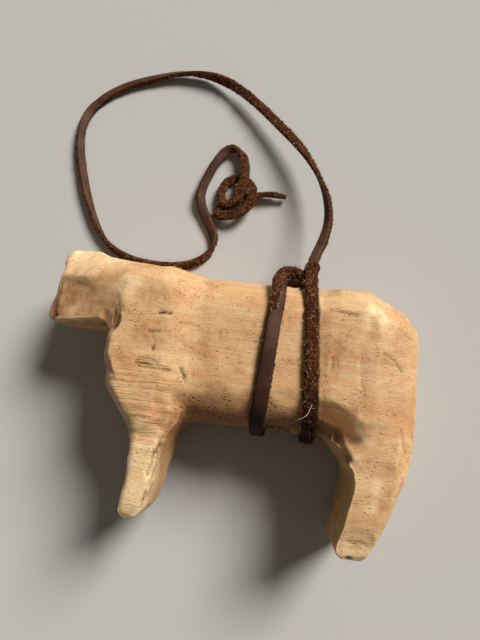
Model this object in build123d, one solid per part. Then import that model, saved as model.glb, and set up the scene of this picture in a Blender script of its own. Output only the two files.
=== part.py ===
from build123d import *
import math
import os

# A whittled wooden cow, lying on its side, with a leather thong tied twice round its barrel.
# X runs from the muzzle to the rump, Y from the soles to the poll and Z up from the side it lies on.
# The origin is under the middle of the cow's box. All lengths are in millimetres.

# Cow along X
HEAD_REACH = 26.3  # muzzle tip to chest
SHOULDER_LENGTH = 29.1  # chest to the front of the barrel
BARREL_LENGTH = 40.0  # even stretch that the thong goes round
HAUNCH_LENGTH = 29.0  # rear of the barrel to the rump
HAUNCH_STEP = 4.0  # length of the slope from the barrel up to the haunch
NECK_LENGTH = 12.3  # how far the head's block runs into the shoulder

# Cow along Y
HIND_LEG_LENGTH = 32.6  # belly to hind sole
FORE_LEG_LENGTH = 30.8  # belly to fore sole
BARREL_HEIGHT = 48.9
POLL_RISE = 6.5  # top of the head above the back
WITHERS_RISE = 1.9  # top of the shoulder above the back
HEAD_HEIGHT = 27.2  # jaw to poll
CHEST_HEIGHT = 11.0  # flat front of the chest
CHEST_DROP = 23.5  # top of the flat chest below the back
SHOULDER_DROP = 17.0  # top of the shoulder's front, under the neck, below the back
NECK_DROP = 29.4  # underside of the neck where it ends in the shoulder, below the back
NAPE_DROP = 0.5  # top of the neck where it is full, below the back
THROAT_DROP = 21.0  # and its underside there
RUMP_HEIGHT = 37.7  # flat rear of the rump
RUMP_DROP = 11.8  # top of the flat rump below the back
HAUNCH_DEPTH = 3.0  # underside of the haunch below the belly
BRISKET_DEPTH = 2.2  # underside of the shoulder below the belly
BRISKET_RISE = 14.0  # underside of the shoulder's front above the belly

# Cow along Z
BOARD_THICKNESS = 38.0  # board that it is cut from, whose faces are left on the shoulder and haunch
FLANK_SWELL = 0.8  # shoulder and haunch past the board's faces, which cut them flat
BARREL_THICKNESS = 33.0
CHEST_THICKNESS = 31.0
RUMP_THICKNESS = 28.0
HIND_LEG_THICKNESS = 37.2
FORE_LEG_THICKNESS = 35.6
MUZZLE_WIDTHS = (9.0, 15.5, 5.0)  # at the jaw, the brow line and the poll line
CHEEK_WIDTHS = (19.0, 31.0, 11.0)
NECK_WIDTHS = (32.0, 37.0, 13.0)
NECK_THICKNESS = 28.0  # round of the neck where it starts in the head

# Corner radii of the body, as shares of the largest that fits
BARREL_ROUND_SHARE = 0.88
BODY_ROUND_SHARE = 0.62
HAUNCH_ROUND_SHARE = 0.72
RUMP_ROUND_SHARE = 0.48
NECK_ROUND_SHARE = 0.90

# Lace and the way it is tied
LACE_WIDTH = 3.6
LACE_THICKNESS = 1.8
CORD_DIAMETER = 2.6  # lace twisted round, in the hitch and the knot
CORD_SIDES = 6
GIRTH_CLEARANCE = 0.35  # between the lace and the barrel
FRONT_TURN_SETBACK = 14.0  # front turn ahead of the barrel's rear, on the back
FRONT_TURN_SLANT = 4.0  # how far forward it leans at the belly
REAR_TURN_SETBACK = 5.6
REAR_TURN_SLANT = 3.4  # how far back it leans at the belly
CROSSING_SHIFT = 6.4  # crest crossing behind the front turn's top
TUCK_SHIFT = 1.6  # tucked end ahead of the front turn's top
LEAD_ROOT_RISE = 8.0  # where the lead leaves the hitch, above the back
LEAD_ROOT_HEIGHT = 4.6  # and above the middle plane
LEAD_LIFT_RUN = 6.0  # straight start of the lead
TAIL_RUN = 3.4  # straight start of the tail
LEAD_TILT = 40.0  # degrees that the lead leans onto its edge
KNOT_FOLD = 10.0  # lace between stretches of the knot that may not touch

# Shapes as shares of the sizes that they follow
WITHERS_SHARES = (0.11, 0.58)  # full shoulder, along the shoulder's length
HAUNCH_SHARES = (0.45, 0.86)  # full haunch and start of the rump's slope, along the haunch's length
CROUP_SHARE = 0.62  # fall of the back at the start of the rump's slope, as a share of the rump's drop
BROW_SHARE = 0.56  # brow line up the head's height
CHEEK_SHARE = 0.46  # cheek along the head's block
NAPE_SHARE = 0.88  # top of the neck up the head's height, where it starts
THROAT_SHARE = 0.19  # where the neck is full, along the shoulder's length
LEG_BEVEL_SHARE = 0.15  # knife-cut corner of a leg, as a share of its thinner side

# Side outline of the head and neck: along the block from the muzzle, up from the jaw
HEAD_OUTLINE_SHARES = (
    (0.09, 0.00),
    (0.02, 0.03),
    (0.00, 0.09),
    (0.02, 0.22),
    (0.075, 0.36),
    (0.105, 0.53),
    (0.115, 0.76),
    (0.13, 0.86),
    (0.19, 0.985),
    (0.27, 1.00),
    (0.39, 0.985),
    (0.52, 0.89),
    (0.83, 0.83),
    (1.00, 0.80),
    (1.00, -0.36),
    (0.72, -0.22),
    (0.66, -0.05),
    (0.63, 0.02),
)

# Legs: down the leg from the belly, front and rear edge along the haunch or the shoulder,
# and thickness and height above the middle plane as shares of the thickest
HIND_LEG_SHARES = (
    (-0.55, 0.18, 0.88, 0.88, 0.00),
    (0.00, 0.13, 0.985, 0.98, 0.00),
    (0.13, 0.27, 0.96, 1.00, 0.00),
    (0.26, 0.38, 0.915, 0.99, 0.00),
    (0.38, 0.405, 0.87, 0.98, 0.00),
    (0.58, 0.355, 0.795, 0.95, 0.00),
    (0.80, 0.305, 0.685, 0.91, 0.01),
    (0.90, 0.275, 0.625, 0.89, 0.015),
    (0.96, 0.285, 0.585, 0.86, 0.02),
    (1.00, 0.35, 0.55, 0.80, 0.02),
)
FORE_LEG_SHARES = (
    (-0.52, 0.00, 0.82, 0.92, 0.00),
    (-0.285, 0.085, 0.89, 0.99, 0.00),
    (-0.095, 0.22, 0.945, 0.98, 0.00),
    (0.02, 0.32, 0.905, 0.94, 0.01),
    (0.15, 0.39, 0.825, 0.87, 0.04),
    (0.30, 0.44, 0.77, 0.80, 0.08),
    (0.61, 0.46, 0.735, 0.69, 0.125),
    (0.84, 0.425, 0.69, 0.63, 0.14),
    (0.94, 0.42, 0.635, 0.57, 0.143),
    (1.00, 0.465, 0.565, 0.46, 0.135),
)

# Steps of the hitch from the tucked end: up in a bight, then down between the lead and the back
HITCH_STEPS = (
    (0.0, 0.0, 3.2),
    (0.7, 2.9, 5.8),
    (2.8, 5.0, 6.9),
    (5.1, 4.7, 6.0),
    (6.8, 2.8, 3.9),
    (10.0, 2.1, 3.2),
    (13.0, 2.1, 3.8),
)

# Route of the free lead over the floor, from just past the hitch to the knot
LEAD_ROUTE = (
    (29.8, 57.2, 18.2),
    (31.3, 64.8, 16.2),
    (31.0, 74.2, 13.6),
    (27.6, 84.6, 11.0),
    (22.6, 94.7, 9.0),
    (15.2, 102.9, 7.5),
    (7.0, 110.9, 6.0),
    (-1.4, 119.6, 5.0),
    (-10.5, 127.6, 4.0),
    (-20.4, 133.2, 3.2),
    (-32.9, 134.1, 2.6),
    (-46.9, 130.4, 2.2),
    (-59.5, 126.3, 2.1),
    (-68.9, 119.8, 2.1),
    (-74.2, 111.3, 2.1),
    (-74.7, 100.9, 2.1),
    (-71.6, 88.9, 2.1),
    (-66.6, 74.8, 2.1),
    (-61.1, 62.4, 2.1),
    (-53.3, 53.1, 2.1),
    (-43.1, 48.3, 2.1),
    (-31.4, 46.7, 2.1),
    (-21.7, 47.9, 2.1),
    (-15.3, 52.1, 2.1),
    (-13.3, 58.6, 2.1),
    (-14.5, 65.3, 2.4),
    (-17.7, 72.0, 2.8),
    (-19.0, 79.5, 3.2),
    (-17.5, 87.0, 3.4),
    (-14.1, 93.5, 3.2),
    (-9.2, 97.4, 2.8),
    (-4.9, 96.3, 2.3),
    (-3.1, 92.7, 1.9),
)

# Route of the overhand knot and of the tail that it leaves
KNOT_ROUTE = (
    (-3.1, 89.9, 1.7),
    (-3.1, 85.7, 1.4),
    (-3.4, 81.5, 3.6),
    (-4.1, 77.3, 4.9),
    (-6.9, 73.3, 4.2),
    (-10.5, 71.3, 3.0),
    (-12.1, 68.1, 2.0),
    (-9.7, 65.7, 1.5),
    (-5.3, 66.7, 1.4),
    (-0.3, 70.1, 1.4),
    (3.1, 74.9, 1.4),
    (3.7, 80.1, 1.4),
    (1.9, 84.7, 2.9),
    (-1.9, 87.3, 4.7),
    (-6.7, 86.9, 4.5),
    (-10.3, 83.9, 3.2),
    (-11.7, 80.1, 1.9),
    (-9.7, 77.1, 1.4),
    (-5.7, 77.1, 1.4),
    (-1.7, 77.9, 1.6),
    (2.5, 79.3, 4.9),
    (6.9, 80.5, 4.8),
)
TAIL_END = (15.4, 81.0, 2.4)

RUN_SHARE = 0.45  # share of the shorter run that a bend of the cord takes
STEPS_PER_MM = 4  # points along a route where its gap to itself is measured

MID_Z = BOARD_THICKNESS / 2
TOTAL_LENGTH = HEAD_REACH + SHOULDER_LENGTH + BARREL_LENGTH + HAUNCH_LENGTH
TOTAL_HEIGHT = HIND_LEG_LENGTH + BARREL_HEIGHT + POLL_RISE
MUZZLE_X = -TOTAL_LENGTH / 2
CHEST_X = MUZZLE_X + HEAD_REACH
BARREL_FRONT_X = CHEST_X + SHOULDER_LENGTH
BARREL_REAR_X = BARREL_FRONT_X + BARREL_LENGTH
RUMP_X = BARREL_REAR_X + HAUNCH_LENGTH
BELLY_Y = HIND_LEG_LENGTH - TOTAL_HEIGHT / 2
BACK_Y = BELLY_Y + BARREL_HEIGHT
POLL_Y = BACK_Y + POLL_RISE
BARREL_CORNER = BARREL_ROUND_SHARE * BARREL_THICKNESS / 2


def board_blank():
    """The sawn board that the cow is carved from."""
    return Pos(0, 0, MID_Z) * Box(TOTAL_LENGTH, TOTAL_HEIGHT, BOARD_THICKNESS)


def body_section(x, bottom, top, thickness, round_share):
    """Rounded cross-section of the body, square to its length."""
    height = top - bottom
    corner = round_share * min(height, thickness) / 2
    plane = Plane(origin=(x, (bottom + top) / 2, MID_Z), x_dir=(0, 1, 0), z_dir=(1, 0, 0))
    return plane * RectangleRounded(height, thickness, corner)


def make_torso():
    """Chest, shoulder, even barrel, haunch and rump, knife-cut in straight steps."""
    withers_x = [CHEST_X + share * SHOULDER_LENGTH for share in WITHERS_SHARES]
    haunch_x = [BARREL_REAR_X + share * HAUNCH_LENGTH for share in HAUNCH_SHARES]
    withers_y = BACK_Y + WITHERS_RISE
    brisket_y = BELLY_Y - BRISKET_DEPTH
    haunch_y = BELLY_Y - HAUNCH_DEPTH
    chest_y = BACK_Y - CHEST_DROP
    shoulder_y = BACK_Y - SHOULDER_DROP
    rump_y = BACK_Y - RUMP_DROP
    croup_y = BACK_Y - CROUP_SHARE * RUMP_DROP
    swollen = BOARD_THICKNESS + 2 * FLANK_SWELL
    croup_thickness = (BOARD_THICKNESS + RUMP_THICKNESS) / 2
    sections = [
        body_section(CHEST_X, chest_y - CHEST_HEIGHT, chest_y, CHEST_THICKNESS, BODY_ROUND_SHARE),
        body_section(withers_x[0], BELLY_Y + BRISKET_RISE, shoulder_y, swollen, BODY_ROUND_SHARE),
        body_section(withers_x[1], brisket_y, withers_y, swollen, BODY_ROUND_SHARE),
        body_section(BARREL_FRONT_X, BELLY_Y, BACK_Y, BARREL_THICKNESS, BARREL_ROUND_SHARE),
        body_section(BARREL_REAR_X, BELLY_Y, BACK_Y, BARREL_THICKNESS, BARREL_ROUND_SHARE),
        body_section(BARREL_REAR_X + HAUNCH_STEP, BELLY_Y, BACK_Y, swollen, HAUNCH_ROUND_SHARE),
        body_section(haunch_x[0], haunch_y, BACK_Y, swollen, HAUNCH_ROUND_SHARE),
        body_section(haunch_x[1], haunch_y, croup_y, croup_thickness, RUMP_ROUND_SHARE),
        body_section(RUMP_X, rump_y - RUMP_HEIGHT, rump_y, RUMP_THICKNESS, RUMP_ROUND_SHARE),
    ]
    return loft(sections, ruled=True) & board_blank()


def make_neck():
    """Rounded neck that widens from inside the head to the full board, and runs into the shoulder."""
    jaw_y = POLL_Y - HEAD_HEIGHT
    nape_y = jaw_y + NAPE_SHARE * HEAD_HEIGHT
    front_x = MUZZLE_X + CHEEK_SHARE * (HEAD_REACH + NECK_LENGTH)
    full_x = CHEST_X + THROAT_SHARE * SHOULDER_LENGTH
    rear_x = CHEST_X + WITHERS_SHARES[1] * SHOULDER_LENGTH
    rear_top = BACK_Y + WITHERS_RISE
    rear_bottom = BACK_Y - NECK_DROP
    swollen = BOARD_THICKNESS + 2 * FLANK_SWELL
    rear_share = BODY_ROUND_SHARE * swollen / (rear_top - rear_bottom)
    sections = [
        body_section(front_x, jaw_y, nape_y, NECK_THICKNESS, NECK_ROUND_SHARE),
        body_section(full_x, BACK_Y - THROAT_DROP, BACK_Y - NAPE_DROP, swollen, NECK_ROUND_SHARE),
        body_section(rear_x, rear_bottom, rear_top, swollen, rear_share),
    ]
    return loft(sections, ruled=True) & board_blank()


def head_section(x, widths):
    """Cross-section of the head: widest at the brow, narrower at the poll and the jaw."""
    jaw_y = POLL_Y - HEAD_HEIGHT
    brow_y = jaw_y + BROW_SHARE * HEAD_HEIGHT
    jaw, brow, poll = (width / 2 for width in widths)
    right = [(BELLY_Y, jaw), (jaw_y, jaw), (brow_y, brow), (POLL_Y, poll)]
    left = [(y, -half) for y, half in reversed(right)]
    plane = Plane(origin=(x, 0, MID_Z), x_dir=(0, 1, 0), z_dir=(1, 0, 0))
    return plane * Polygon(*right, *left, align=None)


def make_head():
    """Head and neck: the side outline, cut to planes that taper to the muzzle."""
    block_length = HEAD_REACH + NECK_LENGTH
    jaw_y = POLL_Y - HEAD_HEIGHT
    outline = [
        (MUZZLE_X + along * block_length, jaw_y + up * HEAD_HEIGHT) for along, up in HEAD_OUTLINE_SHARES
    ]
    blank = extrude(Polygon(*outline, align=None), amount=BOARD_THICKNESS, dir=(0, 0, 1))
    planes = loft(
        [
            head_section(MUZZLE_X, MUZZLE_WIDTHS),
            head_section(MUZZLE_X + CHEEK_SHARE * block_length, CHEEK_WIDTHS),
            head_section(MUZZLE_X + block_length, NECK_WIDTHS),
        ],
        ruled=True,
    )
    return blank & planes


def leg_section(plane, width, thickness):
    """Cross-section of a leg: a rectangle with its corners cut off."""
    cut = LEG_BEVEL_SHARE * min(width, thickness)
    outline = Rectangle(width, thickness)
    return plane * chamfer(outline.vertices(), length=cut)


def make_leg(shares, length, start_x, region, full):
    """One leg, left whole through the board, from inside the body down to its sole."""
    sections = []
    for down, front, rear, thick, lift in shares:
        width = (rear - front) * region
        middle_x = start_x + (front + rear) / 2 * region
        origin = (middle_x, BELLY_Y - down * length, MID_Z + lift * full)
        plane = Plane(origin=origin, x_dir=(1, 0, 0), z_dir=(0, -1, 0))
        sections.append(leg_section(plane, width, thick * full))
    return loft(sections, ruled=True)


def make_cow():
    """The whole carving, one solid: body, neck, head, fore leg and hind leg."""
    hind = make_leg(HIND_LEG_SHARES, HIND_LEG_LENGTH, BARREL_REAR_X, HAUNCH_LENGTH, HIND_LEG_THICKNESS)
    fore = make_leg(FORE_LEG_SHARES, FORE_LEG_LENGTH, CHEST_X, SHOULDER_LENGTH, FORE_LEG_THICKNESS)
    return make_torso().fuse(make_neck(), make_head(), hind, fore).clean()


def bend_radii(points):
    """Radius at each inner point of a route, as large as its two runs allow."""
    radii = []
    for before, here, after in zip(points, points[1:], points[2:]):
        first = Vector(*here) - Vector(*before)
        second = Vector(*after) - Vector(*here)
        half_turn = math.radians(first.get_angle(second)) / 2
        radii.append(RUN_SHARE * min(first.length, second.length) / math.tan(half_turn))
    return radii


def lace_path(points):
    """Path along a route, straight runs joined by tangent arcs."""
    return FilletPolyline(*points, radius=bend_radii(points))


def lace_face(path, across):
    """Lace section square to the start of a path, with its width along the given direction."""
    plane = Plane(origin=path @ 0, x_dir=across, z_dir=path % 0)
    return plane * Rectangle(LACE_WIDTH, LACE_THICKNESS)


def cord_face(path):
    """Section of the twisted lace, with a few flat sides, square to the start of a path."""
    return Plane(origin=path @ 0, z_dir=path % 0) * RegularPolygon(CORD_DIAMETER / 2, CORD_SIDES)


def self_gap(path, skip, section):
    """Least gap between stretches of one path that are further apart along it than the skip."""
    count = int(path.length * STEPS_PER_MM)
    points = [path @ (i / count) for i in range(count + 1)]
    jump = int(skip * STEPS_PER_MM)
    near = min((first - second).length for i, first in enumerate(points) for second in points[i + jump :])
    return near - section


def report(name, solid, path, section_area, radii):
    """Print a swept solid's bends, and its volume against its section times its length."""
    ratio = solid.volume / (section_area * path.length)
    bends = " ".join(f"{radius:.1f}" for radius in radii)
    print(f"{name}: length {path.length:.1f} mm, volume over section times length {ratio:.4f}, radii {bends}")


def lead_root():
    """Point where the lace leaves the hitch."""
    return Vector(BARREL_REAR_X - REAR_TURN_SETBACK, BACK_Y + LEAD_ROOT_RISE, MID_Z + LEAD_ROOT_HEIGHT)


def girth_route():
    """Corners of the two turns round the barrel, from the lead's root to the tucked end, and their radius."""
    offset = GIRTH_CLEARANCE + LACE_THICKNESS / 2
    radius = BARREL_CORNER + offset
    top = BACK_Y + offset
    bottom = BELLY_Y - offset
    near = MID_Z + BARREL_THICKNESS / 2 + offset
    far = MID_Z - BARREL_THICKNESS / 2 - offset
    root = lead_root()
    front_x = BARREL_REAR_X - FRONT_TURN_SETBACK
    front_belly_x = front_x - FRONT_TURN_SLANT
    rear_belly_x = root.X + REAR_TURN_SLANT
    # The lead lifts off the round of the back along the tangent through its root.
    root_y = root.Y - (top - radius)
    root_z = root.Z - (near - radius)
    lift = math.atan2(root_z, root_y) + math.acos(radius / math.hypot(root_y, root_z))
    lift_y = top - radius + radius * math.tan((math.pi / 2 - lift) / 2)
    points = [
        tuple(root),
        (root.X, lift_y, near),
        (rear_belly_x, bottom, near),
        (rear_belly_x, bottom, far),
        (front_x + CROSSING_SHIFT, top, far),
        (front_x, top, near),
        (front_belly_x, bottom, near),
        (front_belly_x, bottom, far),
        (front_x - TUCK_SHIFT / 2, top, far),
        (front_x - TUCK_SHIFT, top, MID_Z),
    ]
    return points, radius


def make_girth():
    """Two turns of flat lace round the barrel, one unbroken strap."""
    points, radius = girth_route()
    radii = [radius] * (len(points) - 2)
    path = FilletPolyline(*points, radius=radii)
    face = lace_face(path, (1, 0, 0))
    side = path.moved(Location((LACE_WIDTH, 0, 0))).wire()
    girth = sweep(face, path=path, binormal=side)
    report("girth", girth, path, face.area, radii)
    print(f"girth least gap to itself {self_gap(path, BARREL_HEIGHT, LACE_WIDTH):.2f} mm")
    return girth


def make_hitch():
    """The tucked end, twisted round, that goes under the lead."""
    points, _ = girth_route()
    tuck = Vector(*points[-1]) + Vector(0, (CORD_DIAMETER - LACE_THICKNESS) / 2, 0)
    route = [tuple(tuck), *(tuple(tuck + Vector(*step)) for step in HITCH_STEPS)]
    path = lace_path(route)
    face = cord_face(path)
    hitch = sweep(face, path=path)
    report("hitch", hitch, path, face.area, bend_radii(route))
    return hitch


def make_lead():
    """Free lead from the hitch over the floor to the knot."""
    points, _ = girth_route()
    root = lead_root()
    lift = (root - Vector(*points[1])).normalized()
    route = [tuple(root), tuple(root + lift * LEAD_LIFT_RUN), *LEAD_ROUTE, KNOT_ROUTE[0]]
    path = lace_path(route)
    face = lace_face(path, Vector(1, 0, 0).rotate(Axis(origin=(0, 0, 0), direction=path % 0), LEAD_TILT))
    lead = sweep(face, path=path)
    report("lead", lead, path, face.area, bend_radii(route))
    return lead


def make_knot():
    """Loose overhand knot, the lace twisted round."""
    path = lace_path(KNOT_ROUTE)
    face = cord_face(path)
    knot = sweep(face, path=path)
    report("knot", knot, path, face.area, bend_radii(KNOT_ROUTE))
    print(f"knot least gap to itself {self_gap(path, KNOT_FOLD, CORD_DIAMETER):.2f} mm")
    return knot


def make_tail():
    """Short flat end past the knot."""
    leave = (Vector(*KNOT_ROUTE[-1]) - Vector(*KNOT_ROUTE[-2])).normalized()
    route = [KNOT_ROUTE[-1], tuple(Vector(*KNOT_ROUTE[-1]) + leave * TAIL_RUN), TAIL_END]
    path = lace_path(route)
    face = lace_face(path, (-leave.Y, leave.X, 0))
    tail = sweep(face, path=path)
    report("tail", tail, path, face.area, bend_radii(route))
    return tail


if __name__ == "__main__":
    os.makedirs("parts", exist_ok=True)
    nodes = {
        "carved_cow": make_cow(),
        "girth_turns": make_girth(),
        "back_hitch": make_hitch(),
        "lead_thong": make_lead(),
        "end_knot": make_knot(),
        "knot_tail": make_tail(),
    }
    for name, solid in nodes.items():
        export_step(solid, f"parts/{name}.step")
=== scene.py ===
import bmesh
import bpy
import numpy as np
from mathutils import Matrix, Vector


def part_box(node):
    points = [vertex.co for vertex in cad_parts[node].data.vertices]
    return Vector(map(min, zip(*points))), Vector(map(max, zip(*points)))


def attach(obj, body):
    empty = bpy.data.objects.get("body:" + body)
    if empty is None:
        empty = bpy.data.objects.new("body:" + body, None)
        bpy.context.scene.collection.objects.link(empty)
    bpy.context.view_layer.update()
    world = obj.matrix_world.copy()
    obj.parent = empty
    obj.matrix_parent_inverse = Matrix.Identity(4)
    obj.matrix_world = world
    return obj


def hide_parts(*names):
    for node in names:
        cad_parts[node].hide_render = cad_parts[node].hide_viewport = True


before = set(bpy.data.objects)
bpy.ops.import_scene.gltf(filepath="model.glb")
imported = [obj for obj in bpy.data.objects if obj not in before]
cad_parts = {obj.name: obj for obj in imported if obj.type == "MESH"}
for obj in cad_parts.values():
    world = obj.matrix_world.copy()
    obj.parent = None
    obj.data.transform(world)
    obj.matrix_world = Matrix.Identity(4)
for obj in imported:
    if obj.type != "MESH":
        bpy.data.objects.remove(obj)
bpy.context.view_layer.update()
scene = bpy.context.scene
scene.view_settings.view_transform = "Standard"
perMm = 0.001  # shapes are worked out in millimetres and put into the meshes in metres
print("frame loaded")


def tone(red, green, blue):  # a colour as seen on screen, 0 to 255, as the linear colour that a socket takes
    seen = np.array([red, green, blue]) / 255
    linear = np.where(seen <= 0.04045, seen / 12.92, ((seen + 0.055) / 1.055) ** 2.4)
    return (*linear.tolist(), 1.0)


def ease(value, low, high):  # smooth step: 0 below low, 1 above high, an S-curve between
    share = np.clip((value - low) / (high - low), 0, 1)
    return share * share * (3 - 2 * share)


def within(value, rise, fall):  # 1 between two ends, easing in over the first pair and out over the second
    return ease(value, *rise) * (1 - ease(value, *fall))


def unit(vectors):
    return vectors / np.linalg.norm(vectors, axis=-1, keepdims=True)


def waves(points, size, count, seed):
    # soft noise of about unit height: plane waves in random directions, each about one size long, added up
    rng = np.random.default_rng(seed)
    heading = unit(rng.normal(size=(count, 3)))
    pitch = 2 * np.pi / (size * rng.uniform(0.7, 1.6, count))
    phase = rng.uniform(0, 2 * np.pi, count)
    return np.sin(points @ (heading * pitch[:, None]).T + phase).sum(1) / np.sqrt(count / 2)


def addPiece(name, mesh, look, body):  # the mesh as a piece that rides on a body
    mesh.materials.clear()
    mesh.materials.append(look)
    piece = bpy.data.objects.new(name, mesh)
    scene.collection.objects.link(piece)
    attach(piece, body)
    return piece


def smoothFaces(mesh):
    mesh.polygons.foreach_set("use_smooth", np.ones(len(mesh.polygons), dtype=bool))
    mesh.update()


def readPoints(mesh):  # in mm
    points = np.zeros(len(mesh.vertices) * 3)
    mesh.vertices.foreach_get("co", points)
    return points.reshape(-1, 3) / perMm


def addValues(mesh, name, values):  # one number per point, for the material to read
    layer = mesh.attributes.new(name, "FLOAT", "POINT")
    layer.data.foreach_set("value", np.ascontiguousarray(values, dtype=np.float32).ravel())


class nodeBench:  # short calls for laying out a material's nodes
    def __init__(self, name):
        self.material = bpy.data.materials.new(name)
        self.material.use_nodes = True
        self.tree = self.material.node_tree
        self.shader = self.tree.nodes["Principled BSDF"]

    def put(self, kind, inputs=None, **settings):
        made = self.tree.nodes.new(kind)
        for key, value in settings.items():
            setattr(made, key, value)
        for key, value in (inputs or {}).items():
            self.feed(made.inputs[key], value)
        return made

    def feed(self, socket, value):
        if isinstance(value, bpy.types.NodeSocket):
            self.tree.links.new(value, socket)
        else:
            socket.default_value = value

    def shade(self, name, value):  # one of the shader's own sockets
        self.feed(self.shader.inputs[name], value)

    def millimetres(self):  # place on the piece
        return self.stretch(self.put("ShaderNodeTexCoord").outputs["Object"], *(1 / perMm,) * 3)

    def number(self, operation, first, second):
        return self.put("ShaderNodeMath", {0: first, 1: second}, operation=operation).outputs[0]

    def times(self, first, second):
        return self.number("MULTIPLY", first, second)

    def plus(self, first, second):
        return self.number("ADD", first, second)

    def vector(self, operation, first, second):
        return self.put("ShaderNodeVectorMath", {0: first, 1: second}, operation=operation).outputs["Vector"]

    def stretch(self, place, *scale):
        return self.vector("MULTIPLY", place, scale)

    def noise(self, place, scale, detail=2.0, roughness=0.5, distortion=0.0):
        inputs = {"Vector": place, "Scale": scale, "Detail": detail, "Roughness": roughness, "Distortion": distortion}
        return self.put("ShaderNodeTexNoise", inputs).outputs["Fac"]

    def cells(self, place, scale=1.0):  # distance to the nearest of scattered points
        return self.put("ShaderNodeTexVoronoi", {"Vector": place, "Scale": scale}).outputs["Distance"]

    def step(self, value, low, high, start=0.0, end=1.0):
        inputs = {"Value": value, "From Min": low, "From Max": high, "To Min": start, "To Max": end}
        return self.put("ShaderNodeMapRange", inputs, interpolation_type="SMOOTHSTEP").outputs["Result"]

    def mix(self, share, first, second):
        return self.put("ShaderNodeMix", {0: share, 6: first, 7: second}, data_type="RGBA").outputs[2]

    def reading(self, name):
        return self.put("ShaderNodeAttribute", attribute_name=name).outputs["Fac"]

    def bump(self, height, distance, strength):
        inputs = {"Height": height, "Distance": distance, "Strength": strength}
        return self.put("ShaderNodeBump", inputs).outputs["Normal"]


# The whittled cow: the sawn shape, evened out, then cut and worn as whole arrays of points

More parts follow.
